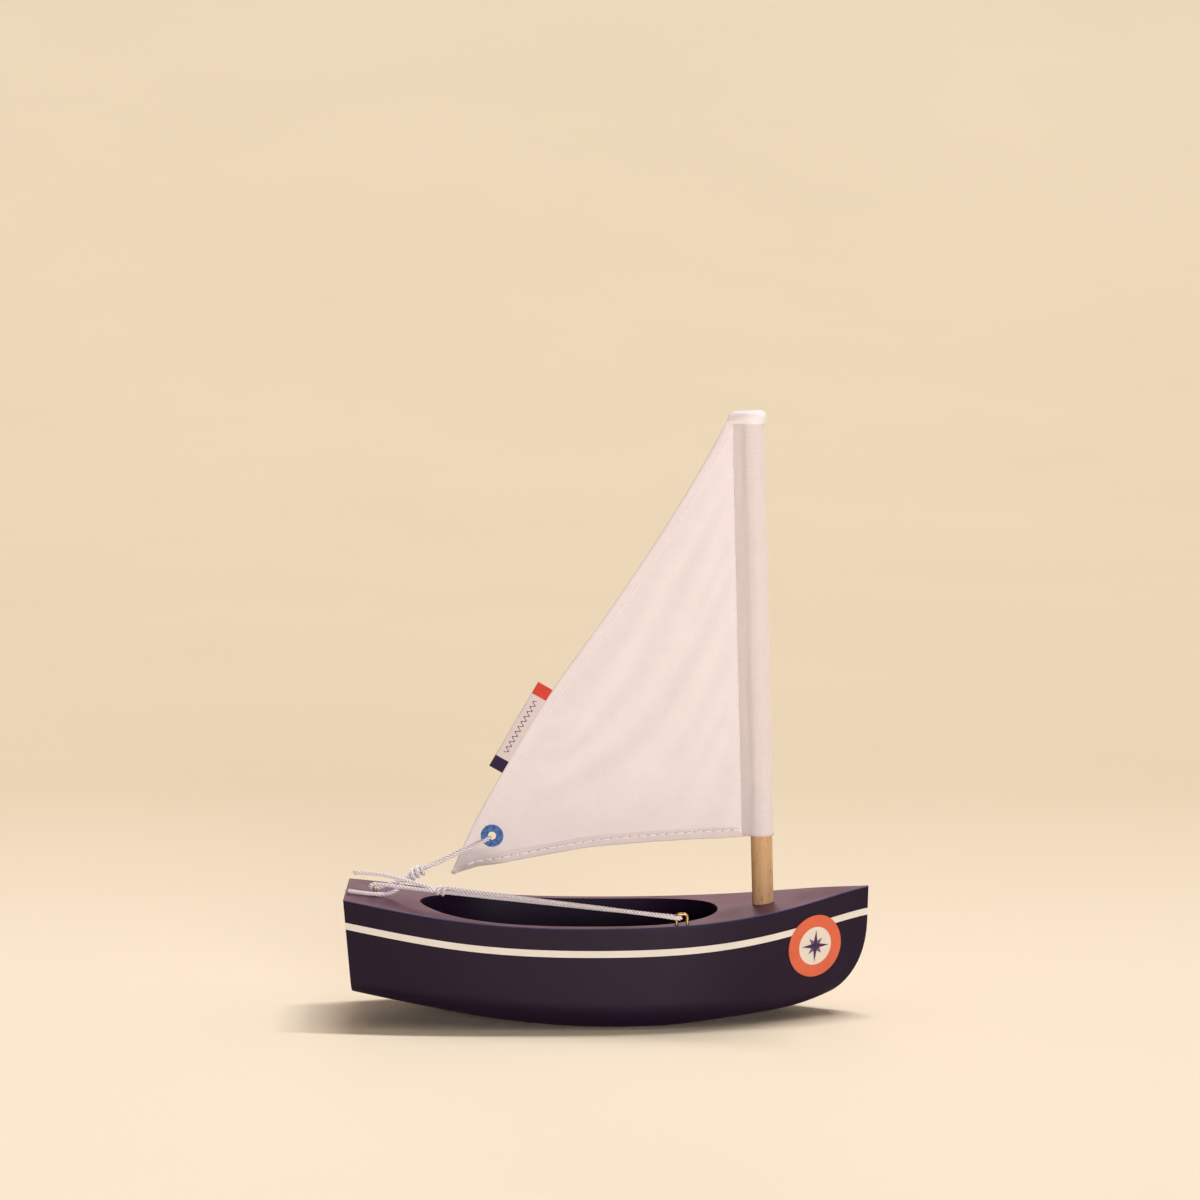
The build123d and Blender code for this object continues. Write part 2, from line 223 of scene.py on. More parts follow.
# ------------------------ materials
class Finish:
    """A procedural material: each call adds one node and gives back its output."""

    def __init__(self, name, specular=0.5, **fixed):
        self.material = bpy.data.materials.new(name)
        self.material.use_nodes = True
        self.tree = self.material.node_tree
        self.shader = next(n for n in self.tree.nodes if n.type == "BSDF_PRINCIPLED")
        self.shader.inputs["Specular IOR Level"].default_value = specular
        for socket, value in fixed.items():
            self.shader.inputs[socket.replace("_", " ")].default_value = value

    def node(self, kind, inputs, output=0, **settings):
        """Adds a node; inputs are values or other nodes' outputs."""
        made = self.tree.nodes.new("ShaderNode" + kind)
        for key, value in settings.items():
            setattr(made, key, value)
        for socket, value in inputs.items():
            if isinstance(value, bpy.types.NodeSocket):
                self.tree.links.new(value, made.inputs[socket])
            else:
                made.inputs[socket].default_value = value
        return made.outputs[output]

    def place(self):
        """Position in the piece, in metres."""
        return self.node("TexCoord", {}, output="Object")

    def cloth_place(self):
        """Position on the cloth or along the thread, in millimetres."""
        return self.node("TexCoord", {}, output="UV")

    def parts(self, vector):
        """The x, y and z of a vector."""
        made = self.tree.nodes.new("ShaderNodeSeparateXYZ")
        self.tree.links.new(vector, made.inputs[0])
        return made.outputs

    def scaled(self, vector, scale):
        """The vector times a scale for each axis."""
        return self.node("VectorMath", {0: vector, 1: scale}, operation="MULTIPLY")

    def noise(self, vector, scale, detail=3.0, roughness=0.55):
        """Soft noise from 0 to 1."""
        return self.node("TexNoise", {"Vector": vector, "Scale": scale, "Detail": detail,
                                      "Roughness": roughness}, output="Fac")

    def math(self, operation, a, b=0.0):
        """One sum on two numbers."""
        return self.node("Math", {0: a, 1: b}, operation=operation)

    def stretch(self, value, low=0.3, high=0.7, to_low=0.0, to_high=1.0):
        """Maps one range of numbers onto another, and keeps within it."""
        return self.node("MapRange", {"Value": value, "From Min": low, "From Max": high,
                                      "To Min": to_low, "To Max": to_high}, clamp=True)

    def mixed(self, share, first, second):
        """A colour between two colours."""
        made = self.tree.nodes.new("ShaderNodeMix")
        made.data_type = "RGBA"
        for socket, value in ((made.inputs[0], share), (made.inputs[6], first), (made.inputs[7], second)):
            if isinstance(value, bpy.types.NodeSocket):
                self.tree.links.new(value, socket)
            elif socket == made.inputs[0]:
                socket.default_value = value
            else:
                socket.default_value = (*value, 1.0)
        return made.outputs[2]

    def bump(self, height, strength, distance, under=None):
        """A surface normal from a height; distance is in metres."""
        inputs = {"Height": height, "Strength": strength, "Distance": distance}
        if under is not None:
            inputs["Normal"] = under
        return self.node("Bump", inputs)

    def connect(self, **sockets):
        """Links outputs to the shader's sockets."""
        for socket, value in sockets.items():
            self.tree.links.new(value, self.shader.inputs[socket.replace("_", " ")])
        return self.material


def waves(finish, value, pitch):
    """A sine of the given pitch along one coordinate."""
    return finish.math("SINE", finish.math("MULTIPLY", value, 2 * math.pi / pitch))


def cloth_finish(name, light, dark, thread_pitch=0.42, relief=0.05, streaks=0.5):
    """Plain woven cotton with uneven threads; colours are its light and dark threads."""
    f = Finish(name, 0.2, Roughness=0.9, Sheen_Weight=0.25, Sheen_Roughness=0.5)
    at = f.cloth_place()
    across, up, _ = f.parts(at)
    over_under = f.math("MULTIPLY", waves(f, across, thread_pitch), waves(f, up, thread_pitch))
    slub_across = f.noise(f.scaled(at, (0.12, 2.6, 1.0)), 1.0, 4.0)
    slub_up = f.noise(f.scaled(at, (2.6, 0.12, 1.0)), 1.0, 4.0)
    slubs = f.math("ADD", slub_across, slub_up)
    mottle = f.noise(at, 0.07, 3.0)
    shade = f.math("ADD", f.math("MULTIPLY", f.stretch(slubs, 0.75, 1.25), streaks),
                   f.math("MULTIPLY", f.stretch(mottle, 0.35, 0.65), 1.0 - streaks))
    colour = f.mixed(shade, dark, light)
    fuzz = f.noise(at, 6.0, 2.0)
    height = f.math("ADD", f.math("MULTIPLY", over_under, 0.5),
                    f.math("ADD", f.math("MULTIPLY", slubs, 1.4), f.math("MULTIPLY", fuzz, 0.3)))
    return f.connect(Base_Color=colour, Normal=f.bump(height, 0.55, relief * MM))


def thread_finish(name, light, dark, twist=1.0):
    """Spun thread or cord: fine fibres that run along it."""
    f = Finish(name, 0.25, Roughness=0.85, Sheen_Weight=0.3, Sheen_Roughness=0.45)
    at = f.cloth_place()
    fibres = f.noise(f.scaled(at, (0.8, 5.0 * twist, 1.0)), 1.0, 4.0, 0.6)
    patches = f.noise(f.place(), 900.0, 2.0)
    shade = f.math("ADD", f.math("MULTIPLY", f.stretch(fibres), 0.6),
                   f.math("MULTIPLY", f.stretch(patches, 0.35, 0.65), 0.4))
    return f.connect(Base_Color=f.mixed(shade, dark, light),
                     Normal=f.bump(fibres, 0.6, 0.05 * MM))


def paint_finish():
    """Satin navy paint over fine-grained wood, with painted light: a painted highlight of brighter blue on
    the rounded sheer edges, and a painted sheen, lighter and warmer, on the deck.
    """
    f = Finish("navy_paint", 0.2)
    at = f.place()
    grain = f.noise(f.scaled(at, (60.0, 900.0, 900.0)), 1.0, 5.0, 0.6)
    clouds = f.noise(at, 45.0, 3.0)
    specks = f.noise(at, 2600.0, 2.0)
    shade = f.math("ADD", f.math("MULTIPLY", f.stretch(grain), 0.45),
                   f.math("MULTIPLY", f.stretch(clouds), 0.55))
    colour = f.mixed(shade, (0.0118, 0.0042, 0.0178), (0.0160, 0.0058, 0.0232))
    facing_up = f.parts(f.node("NewGeometry", {}, output="Normal"))[2]
    outside = f.stretch(f.parts(at)[2], 0.029, 0.031, 0.0, 0.9)
    # Painted highlight: faces turning from the side towards the deck, above 30 mm, get a brighter blue; the
    # cockpit floor is left out.
    rim = f.math("MULTIPLY", f.stretch(facing_up, 0.3, 0.55), f.stretch(facing_up, 0.96, 0.88))
    colour = f.mixed(f.math("MULTIPLY", rim, outside), colour, (0.02, 0.026, 0.11))
    # Painted sheen: faces looking straight up on the deck, above 30 mm, get a lighter, warmer colour.
    top = f.math("MULTIPLY", f.stretch(facing_up, 0.96, 0.99), outside)
    colour = f.mixed(top, colour, (0.075, 0.022, 0.050))
    rounded = f.node("Bevel", {"Radius": 0.35 * MM}, samples=6)
    height = f.math("ADD", f.math("MULTIPLY", grain, 0.7), f.math("MULTIPLY", specks, 0.35))
    rough = f.stretch(f.math("ADD", clouds, f.math("MULTIPLY", grain, 0.5)), 0.5, 1.0, 0.40, 0.52)
    return f.connect(Base_Color=colour, Roughness=rough,
                     Normal=f.bump(height, 0.28, 0.05 * MM, under=rounded))


def print_finish(name, first, second, rough=0.55):
    """Thin printed or painted film that follows the surface under it."""
    f = Finish(name, 0.35)
    at = f.place()
    clouds = f.noise(at, 120.0, 3.0)
    specks = f.noise(at, 3000.0, 2.0)
    colour = f.mixed(f.stretch(clouds), first, second)
    return f.connect(Base_Color=colour, Roughness=f.stretch(clouds, 0.3, 0.7, rough - 0.06, rough + 0.06),
                     Normal=f.bump(specks, 0.2, 0.03 * MM))


def mast_finish():
    """Sanded beech: fine upright grain with short dark flecks."""
    f = Finish("beech_dowel", 0.3)
    at = f.place()
    bands = f.noise(f.scaled(at, (420.0, 420.0, 9.0)), 1.0, 4.0, 0.55)
    pores = f.noise(f.scaled(at, (2600.0, 2600.0, 160.0)), 1.0, 3.0, 0.5)
    flecks = f.noise(f.scaled(at, (1500.0, 1500.0, 330.0)), 1.0, 1.0, 0.4)
    ground = f.mixed(f.stretch(bands), (0.58, 0.33, 0.155), (0.80, 0.53, 0.27))
    pored = f.mixed(f.stretch(pores, 0.58, 0.75, 0.0, 0.45), ground, (0.33, 0.155, 0.065))
    colour = f.mixed(f.stretch(flecks, 0.64, 0.74, 0.0, 0.55), pored, (0.36, 0.13, 0.05))
    height = f.math("ADD", f.math("MULTIPLY", bands, 0.5), f.math("MULTIPLY", pores, -0.8))
    return f.connect(Base_Color=colour, Roughness=f.stretch(bands, 0.3, 0.7, 0.5, 0.62),
                     Normal=f.bump(height, 0.35, 0.05 * MM))


def brass_finish():
    """Drawn brass wire, a little tarnished."""
    f = Finish("brass_wire", Metallic=1.0)
    at = f.place()
    tarnish = f.noise(at, 700.0, 4.0)
    scratches = f.noise(f.scaled(at, (600.0, 600.0, 4000.0)), 1.0, 3.0)
    colour = f.mixed(f.stretch(tarnish, 0.35, 0.65), (0.38, 0.22, 0.07), (0.72, 0.50, 0.22))
    return f.connect(Base_Color=colour, Roughness=f.stretch(tarnish, 0.3, 0.7, 0.42, 0.26),
                     Normal=f.bump(scratches, 0.3, 0.02 * MM))


def steel_finish():
    """Turned mild steel."""
    f = Finish("turned_steel", Metallic=1.0)
    rings = f.noise(f.scaled(f.place(), (300.0, 300.0, 5000.0)), 1.0, 3.0)
    colour = f.mixed(f.stretch(rings), (0.35, 0.35, 0.36), (0.55, 0.55, 0.56))
    return f.connect(Base_Color=colour, Roughness=f.stretch(rings, 0.3, 0.7, 0.35, 0.5),
                     Normal=f.bump(rings, 0.3, 0.02 * MM))


LABEL_LENGTH, LABEL_OUT = 31.6, 5.2
LABEL_BLOCK = 4.2         # coloured block at each end of the label


def label_finish():
    """Woven ribbon: a navy end, a red end, and a plain woven ripple between them."""
    f = Finish("woven_label", 0.2, Roughness=0.85, Sheen_Weight=0.2)
    at = f.cloth_place()
    along, across, _ = f.parts(at)
    ripple = f.math("MULTIPLY", waves(f, along, 1.9), 0.62)
    off_line = f.math("ABSOLUTE", f.math("SUBTRACT", f.math("SUBTRACT", across, 0.55 * LABEL_OUT), ripple))
    on_line = f.stretch(off_line, 0.26, 0.16)
    middle = f.math("MULTIPLY", f.stretch(along, LABEL_BLOCK + 2.0, LABEL_BLOCK + 2.1),
                    f.stretch(along, LABEL_LENGTH - LABEL_BLOCK - 1.5, LABEL_LENGTH - LABEL_BLOCK - 1.6))
    white = f.mixed(f.noise(at, 1.2, 3.0), (0.71, 0.63, 0.61), (0.81, 0.73, 0.71))
    lined = f.mixed(f.math("MULTIPLY", on_line, middle), white, (0.045, 0.035, 0.06))
    navy = f.mixed(f.stretch(along, LABEL_BLOCK, LABEL_BLOCK + 0.05), (0.035, 0.02, 0.055), lined)
    red_from = LABEL_LENGTH - LABEL_BLOCK
    colour = f.mixed(f.stretch(along, red_from, red_from + 0.05), navy, (0.70, 0.07, 0.045))
    ribs = f.math("ADD", waves(f, across, 0.35), f.math("MULTIPLY", waves(f, along, 0.28), 0.6))
    return f.connect(Base_Color=colour, Normal=f.bump(ribs, 0.5, 0.04 * MM))


def floor_finish():
    """Smooth cream paper with the faintest mottling, and painted shade that makes it darker towards the back.
    """
    f = Finish("cream_paper", 0.2, Roughness=0.75)
    at = f.place()
    clouds = f.noise(at, 3.0, 3.0)
    fibres = f.noise(f.scaled(at, (260.0, 900.0, 900.0)), 1.0, 3.0)
    near = f.mixed(f.stretch(clouds), (0.86, 0.785, 0.60), (0.88, 0.805, 0.62))
    far = f.mixed(f.stretch(clouds), (0.72, 0.64, 0.45), (0.74, 0.66, 0.465))
    # Painted shade: a darker far colour takes over from 6 to 50 cm behind the boat.
    colour = f.mixed(f.stretch(f.parts(at)[1], 0.06, 0.5), near, far)
    return f.connect(Base_Color=colour, Normal=f.bump(fibres, 0.15, 0.05 * MM))


# ------------------------ floor and light
def make_floor():
    """A pale floor that rises very gently into its own backdrop far behind."""
    shape = Shape()
    rings, spokes = 60, 96
    rows, uv_rows = [], []
    for k in range(rings):
        radius = 4000.0 * (k + 0.5) / rings
        turns = [2 * math.pi * s / spokes for s in range(spokes)]
        rises = [680.0 * (max(0.0, radius * math.sin(t) - 1400.0) / 2600.0) ** 2 for t in turns]
        rows.append([(radius * math.cos(t), radius * math.sin(t), rise) for t, rise in zip(turns, rises)])
        uv_rows.append([(radius, t) for t in turns])
    base = shape.grid(rows, uv_rows, closed=True)
    shape.cap(base, spokes, (0, 0, 0), (0, 0), flip=True)
    floor = shape.make("floor")
    floor.data.materials.append(floor_finish())


def sun(name, toward, spread, strength, colour):
    """A far lamp: toward points from the boat to the lamp, spread is how wide it looks."""
    lamp = bpy.data.lights.new(name, "SUN")
    lamp.angle = spread
    lamp.energy = strength
    lamp.color = colour
    light = put_in_scene(name, lamp)
    light.rotation_euler = Vector(toward).to_track_quat("Z", "Y").to_euler()
    light.location = Vector(toward).normalized() * 2.0


def make_light():
    """A tent lit from above and behind, a long high lamp, a key lamp, and low washes in front and behind."""
    world = bpy.data.worlds.new("tent")
    world.use_nodes = True
    back = world.node_tree.nodes["Background"]
    back.inputs["Color"].default_value = (1.0, 0.79, 0.66, 1.0)
    nodes, links = world.node_tree.nodes, world.node_tree.links
    toward_top = nodes.new("ShaderNodeVectorMath")
    toward_top.operation = "DOT_PRODUCT"
    toward_top.inputs[1].default_value = (0.0, 0.35, 0.9)
    links.new(nodes.new("ShaderNodeTexCoord").outputs["Generated"], toward_top.inputs[0])
    climb = nodes.new("ShaderNodeMapRange")
    for socket, value in {"From Min": 0.12, "From Max": 0.85, "To Min": 0.03, "To Max": 0.46}.items():
        climb.inputs[socket].default_value = value
    links.new(toward_top.outputs["Value"], climb.inputs["Value"])
    links.new(climb.outputs[0], back.inputs["Strength"])
    bpy.context.scene.world = world
    bpy.context.scene.view_settings.view_transform = "Standard"
    warm = (1.0, 0.96, 0.99)
    for k in range(9):
        lean = 0.07 * k - 0.03
        sun(f"long_lamp_{k}", (lean, 0.27 - 0.12 * lean, 1.0), 0.07, 0.25, warm)
    sun("key", (0.32, -0.05, 1.0), 0.04, 0.15, warm)
    sun("front_wash", (0.24, -1.0, 0.12), 0.35, 1.75, (1.0, 0.93, 0.98))
    sun("back_wash", (0.0, 2.4, 1.0), 0.35, 0.25, (1.0, 0.66, 0.68))


# The route's points are the CAD model's, in millimetres, with the turns of the knot and the hitch.
KNOT_TAIL = [(-84.2, -7.2, 41.6), (-77.6, -6.6, 40.4), (-71.2, -4.0, 39.8), (-67.4, -2.2, 41.7)]
KNOT_AXIS = [(-64.6, 0.0, 45.2), (-60.2, 0.0, 47.5)]
LOOP = [(-58.6, -1.0, 48.2), (-50.0, -1.25, 52.2), (-43.0, -1.3, 55.6), (-38.5, -1.9, 57.9),
        (-38.5, 1.9, 57.9), (-43.0, 1.3, 55.6), (-50.0, 1.25, 52.2), (-58.6, 0.8, 48.1)]
LEAD = [(-65.4, 0.0, 44.6), (-69.4, 0.2, 43.0), (-75.0, -0.3, 41.3), (-77.4, -0.8, 41.6),
        (-77.4, -1.85, 42.0)]
STANDING = [(-77.4, -1.85, 42.0), (-77.4, -2.9, 42.8), (-75.0, -3.3, 43.2), (-67.5, -4.9, 42.4),
            (-56.2, -7.4, 41.4)]
FALL = [(-52.6, -8.2, 41.2), (-45.0, -9.8, 40.6), (15.4, -22.6, 36.2), (22.8, -24.2, 35.7),
        (22.8, -27.2, 35.7), (15.4, -24.6, 36.5), (-45.0, -10.3, 41.8)]
HITCH_AXIS = [(-52.6, -8.2, 41.6), (-55.8, -7.5, 41.8)]
HITCH_TAIL = [(-57.4, -6.6, 42.6), (-62.2, -5.2, 43.6), (-70.5, -2.6, 45.6), (-77.0, -0.8, 46.4),
              (-82.2, 0.6, 46.2)]


def turns_round(axis, radius, turns, start):
    """Control points of a few turns wound round an axis, their radius wavering a little."""
    low, high = np.array(axis[0], float), np.array(axis[1], float)
    ahead = unit(high - low)
    across = unit(np.cross(ahead, (0, 0, 1)))
    over = np.cross(across, ahead)
    points = []
    count = round(12 * turns)
    for k in range(count + 1):
        angle = math.radians(start) + 2 * math.pi * k / 12
        wide = radius / math.cos(math.pi / 12) * (1 + 0.05 * math.sin(2.1 * angle))
        points.append(tuple(low + (high - low) * k / count
                            + wide * (math.cos(angle) * across + math.sin(angle) * over)))
    return points


def route_line(name, points, spacing=0.28):
    """Closely spaced points of the smooth curve that a route's control points make, in millimetres."""
    curve = bpy.data.curves.new(name, "CURVE")
    curve.dimensions = "3D"
    curve.resolution_u = 16
    spline = curve.splines.new("NURBS")
    spline.points.add(len(points) - 1)
    for spot, point in zip(spline.points, points):
        spot.co = (*(c * MM for c in point), 1.0)
    spline.order_u = 3
    spline.use_endpoint_u = True
    guide = bpy.data.objects.new(name, curve)
    mesh = bpy.data.meshes.new_from_object(guide)
    line = np.array([v.co for v in mesh.vertices]) / MM
    bpy.data.meshes.remove(mesh)
    bpy.data.objects.remove(guide)
    length = np.linalg.norm(np.diff(line, axis=0), axis=1).sum()
    return even_line(line, int(length / spacing) + 1)


def rope(line, pitch=3.7, strands=3, sides_each=9):
    """A twisted cord along a line: strands wound round each other, as one closed surface."""
    shape = Shape()
    strand, offset = 0.27 * CORD, 0.30 * CORD
    sides = strands * sides_each
    length = distances(line)
    slack = uneven(length, 6.0, 0.94, 1.05, seed=7)
    rows, uv_rows = [], []
    lobe = 2 * math.pi / strands
    for spot, (across, over), s, wide in zip(line, frames_along(line), length, slack):
        ring, uv_ring = [], []
        for k in range(sides):
            angle = 2 * math.pi * k / sides
            from_lobe = (angle + lobe / 2) % lobe - lobe / 2
            aside = offset * math.sin(from_lobe)
            reach = offset * math.cos(from_lobe) + math.sqrt(strand ** 2 - aside ** 2)
            turned = angle + 2 * math.pi * s / pitch
            ring.append(spot + wide * reach * (math.cos(turned) * across + math.sin(turned) * over))
            uv_ring.append((s, from_lobe))
        rows.append(ring)
        uv_rows.append(uv_ring)
    base = shape.grid(rows, uv_rows, closed=True)
    ahead, behind = unit(line[0] - line[1]), unit(line[-1] - line[-2])
    shape.cap(base, sides, line[0] + 0.3 * ahead, (0, 0), flip=True)
    shape.cap(base + (len(line) - 1) * sides, sides, line[-1] + 0.3 * behind, (length[-1], 0))
    return shape


def fray(shape, end, direction, seed, count=14):
    """A cut cord end's loose fibres."""
    chance = random.Random(seed)
    for _ in range(count):
        aside = np.array([chance.uniform(-1, 1) for _ in range(3)])
        root = end + 0.38 * aside - 0.5 * direction
        tip = root + direction * chance.uniform(0.8, 1.5) + 0.35 * aside
        bend = (root + tip) / 2 + 0.12 * np.array([chance.uniform(-1, 1) for _ in range(3)])
        shape.tube([root, bend, tip], [0.07, 0.06, 0.035], sides=5)


def cord_finish():
    """White cotton cord, with painted shade darkening the grooves between its strands."""
    f = Finish("cotton_cord", 0.2, Roughness=0.85, Sheen_Weight=0.3, Sheen_Roughness=0.45)
    at = f.cloth_place()
    fibres = f.noise(f.scaled(at, (1.6, 5.0, 1.0)), 1.0, 4.0, 0.6)
    patches = f.noise(f.place(), 700.0, 2.0)
    # Painted shade: the grooves between the strands are darkened in colour.
    painted_groove_shade = f.stretch(f.math("ABSOLUTE", f.parts(at)[1]), 0.45, 1.0)
    shade = f.math("ADD", f.math("MULTIPLY", f.stretch(fibres), 0.5),
                   f.math("MULTIPLY", f.stretch(patches, 0.35, 0.65), 0.5))
    cotton = f.mixed(shade, (0.96, 0.915, 0.91), (1.0, 0.975, 0.975))
    return f.connect(Base_Color=f.mixed(painted_groove_shade, cotton, (0.42, 0.31, 0.30)),
                     Normal=f.bump(fibres, 0.6, 0.05 * MM))


def make_cords():
    """The cord in its two stretches: eyelet to stern staple, and stern staple to gunwale and back."""
    cotton = cord_finish()
    knot = turns_round(KNOT_AXIS, 1.42, 2.75, 150)
    hitch = turns_round(HITCH_AXIS, 1.12, 1.75, 60)

    line = route_line("clew_route", [*KNOT_TAIL, *knot, *LOOP, *KNOT_AXIS[::-1], *LEAD])
    shape = rope(line)
    fray(shape, line[0], unit(line[0] - line[2]), 3)
    clew = dress(shape.make("clew_cord"), None, cotton)
    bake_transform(clew)
    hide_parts("clew_loop", "clew_knot", "sheet_lead", "knot_tail")

    line = route_line("sheet_route", [*STANDING, *FALL, *hitch, *HITCH_TAIL])
    shape = rope(line)
    fray(shape, line[-1], unit(line[-1] - line[-3]), 5)
    sheet = dress(shape.make("sheet_cord"), "hull", cotton)
    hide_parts("sheet_standing", "sheet_fall", "slide_hitch", "hitch_tail")


# ------------------------ hull and mast
DECAL_CENTRE = np.array([66.9, -11.2, 23.9])
DECAL_YAW, DECAL_TILT = math.radians(33.0), math.radians(7.6)
DISC_RADIUS = 6.3


def decal_finish(side):
    """Orange ring round a cream disc, printed on film."""
    f = Finish("bow_print_" + ("starboard" if side > 0 else "port"), 0.4)
    at = f.place()
    centre = tuple(DECAL_CENTRE * (MM, side * MM, MM))
    away = f.node("VectorMath", {0: at, 1: centre}, output="Value", operation="DISTANCE")
    clouds = f.stretch(f.noise(at, 150.0, 3.0))
    orange = f.mixed(clouds, (0.70, 0.125, 0.055), (0.76, 0.15, 0.068))
    cream = f.mixed(clouds, (0.78, 0.71, 0.60), (0.84, 0.77, 0.66))
    colour = f.mixed(f.stretch(away, DISC_RADIUS * MM, (DISC_RADIUS + 0.08) * MM), cream, orange)
    specks = f.noise(at, 3200.0, 2.0)
    return f.connect(Base_Color=colour, Roughness=f.stretch(clouds, 0.0, 1.0, 0.42, 0.5),
                     Normal=f.bump(specks, 0.2, 0.03 * MM))


def finish_nodes(material, *names):
    """Gives CAD nodes their material."""
    for name in names:
        for place in NODES[name].material_slots:
            place.material = material


def spoke(angle):
    """A flat direction at an angle from straight up."""
    return np.array([math.sin(angle), math.cos(angle)])


def make_star(side, material, pale_material):
    """A plain eight-pointed compass star printed on the decal's disc."""
    name = "starboard" if side > 0 else "port"
    film = NODES["decal_" + name].data
    tree = BVHTree.FromPolygons([v.co for v in film.vertices], [p.vertices for p in film.polygons])
    level, tilt = math.cos(DECAL_TILT), math.sin(DECAL_TILT)
    outward = Vector((math.sin(DECAL_YAW) * level, -side * math.cos(DECAL_YAW) * level, -tilt))
    centre = Vector(DECAL_CENTRE * (MM, side * MM, MM))
    up = (Vector((0, 0, 1)) - outward * outward.z).normalized()
    ahead = up.cross(outward)

    def on_film(radius, angle, lift=0.03):
        start = centre + (ahead * math.sin(angle) + up * math.cos(angle)) * radius * MM + outward * 0.01
        hit = tree.ray_cast(start, -outward)[0]
        return np.array(hit + outward * lift * MM) / MM

    for layer, (outer, inner, turn, lift, finish) in {
            "small": (3.6, 1.35, math.pi / 4, 0.03, pale_material),
            "large": (5.3, 1.15, 0.0, 0.06, material)}.items():
        shape = Shape()
        for point in range(4):
            for half in (-1, 1):
                tip_angle = turn + point * math.pi / 2
                toward_tip = spoke(tip_angle)
                low = spoke(tip_angle + half * math.pi / 4) * inner
                rows, uv_rows = [], []
                for share in np.linspace(0, 1, 7):
                    tip = toward_tip * outer * share
                    edge = low + (toward_tip * outer - low) * share
                    spots = [tip, (tip + edge) / 2, edge]
                    rows.append([on_film(np.hypot(*p), math.atan2(p[0], p[1]), lift) for p in spots])
                    uv_rows.append([tuple(p) for p in spots])
                shape.grid(rows, uv_rows)
        star = dress(shape.make(f"compass_star_{layer}_{name}"), "hull", finish)
        thicken(star, 0.03)


def make_hull():
    """Paint, film and metal on the hull's CAD nodes, and the stars on the decals."""
    finish_nodes(paint_finish(), "hull", "ballast_plug_aft", "ballast_plug_fore")
    finish_nodes(steel_finish(), "ballast_slug_aft", "ballast_slug_fore")
    finish_nodes(brass_finish(), "stern_staple", "gunwale_staple")
    finish_nodes(mast_finish(), "mast")
    stripe = print_finish("stripe_paint", (0.79, 0.755, 0.67), (0.84, 0.80, 0.715))
    finish_nodes(stripe, "stripe_starboard", "stripe_port")
    navy = print_finish("star_ink", (0.055, 0.025, 0.085), (0.075, 0.035, 0.11))
    pale = print_finish("star_ink_pale", (0.16, 0.10, 0.22), (0.20, 0.13, 0.27))
    for side, name in ((1, "decal_starboard"), (-1, "decal_port")):
        finish_nodes(decal_finish(side), name)
        make_star(side, navy, pale)


# ------------------------ sail
LEECH = [(38.7, 193.8), (28.0, 174.5), (14.0, 152.0), (-2.5, 127.7), (-17.5, 106.7), (-32.4, 82.5),
         (-43.5, 62.4), (-51.0, 45.8)]
CLEW_TIP = (-50.0, 44.9)
FOOT = [CLEW_TIP, (-45.4, 46.5), (-39.8, 48.2), (-24.8, 51.4), (-6.1, 54.6), (12.4, 56.2), (27.4, 57.1),
        (45.0, 57.9)]
HEAD_Z = 193.4
PANEL_CLOTH = 0.34
MESH_SIZE = 1.35          # spacing of the sail's mesh


def seam_x(z):
    """Where the sleeve's seam is at a height."""
    return MAST_FOOT[0] - math.tan(MAST_RAKE) * (z - MAST_FOOT[2]) - SEAM_AFT


def panel_shape():
    """The flat sail panel as an even triangle mesh: (x, z) points and triangles."""
    leech = smooth_line(LEECH, 140)
    foot = smooth_line(FOOT, 76)
    luff_low, luff_high = (seam_x(58.3) + 1.0, 58.0), (seam_x(HEAD_Z) + 1.0, HEAD_Z)
    luff = even_line(np.array([luff_low, luff_high]), 108)
    head = even_line(np.array([luff_high, tuple(leech[0])]), 4)
    edge = [tuple(p) for line in (leech, foot, luff, head) for p in line[:-1]]
    chance = random.Random(11)
    inside = []
    low, high = np.min(edge, axis=0), np.max(edge, axis=0)
    outline = np.array(edge)
    row = 0
    z = low[1]
    while z < high[1]:
        x = low[0] + (MESH_SIZE / 2 if row % 2 else 0)
        while x < high[0]:
            spot = (x + chance.uniform(-0.2, 0.2), z + chance.uniform(-0.2, 0.2))
            if within(outline, spot) and np.min(np.hypot(*(outline - spot).T)) > 0.6 * MESH_SIZE:
                inside.append(spot)
            x += MESH_SIZE
        z += MESH_SIZE * math.sqrt(3) / 2
        row += 1
    count = len(edge)
    loop = [(k, (k + 1) % count) for k in range(count)]
    made = geometry.delaunay_2d_cdt([Vector(p) for p in edge + inside], loop, [list(range(count))], 1, 1e-6)
    points = np.array(made[0])
    hole = EYELET_HOLE / 2 + 0.6
    faces = [f for f in made[2] if np.hypot(*(points[list(f)].mean(0) - EYELET)) > hole]
    return points, faces


def within(outline, spot):
    """Whether a point is inside a closed outline."""
    x, z = outline[:, 0], outline[:, 1]
    next_x, next_z = np.roll(x, -1), np.roll(z, -1)
    crosses = (z > spot[1]) != (next_z > spot[1])
    with np.errstate(divide="ignore", invalid="ignore"):
        at = x + (spot[1] - z) * (next_x - x) / (next_z - z)
    return bool(np.sum(crosses & (spot[0] < at)) % 2)


CREASE_FROM, CREASE_TO = np.array(EYELET) + (0.6, -3.2), np.array([-48.0, 54.2])


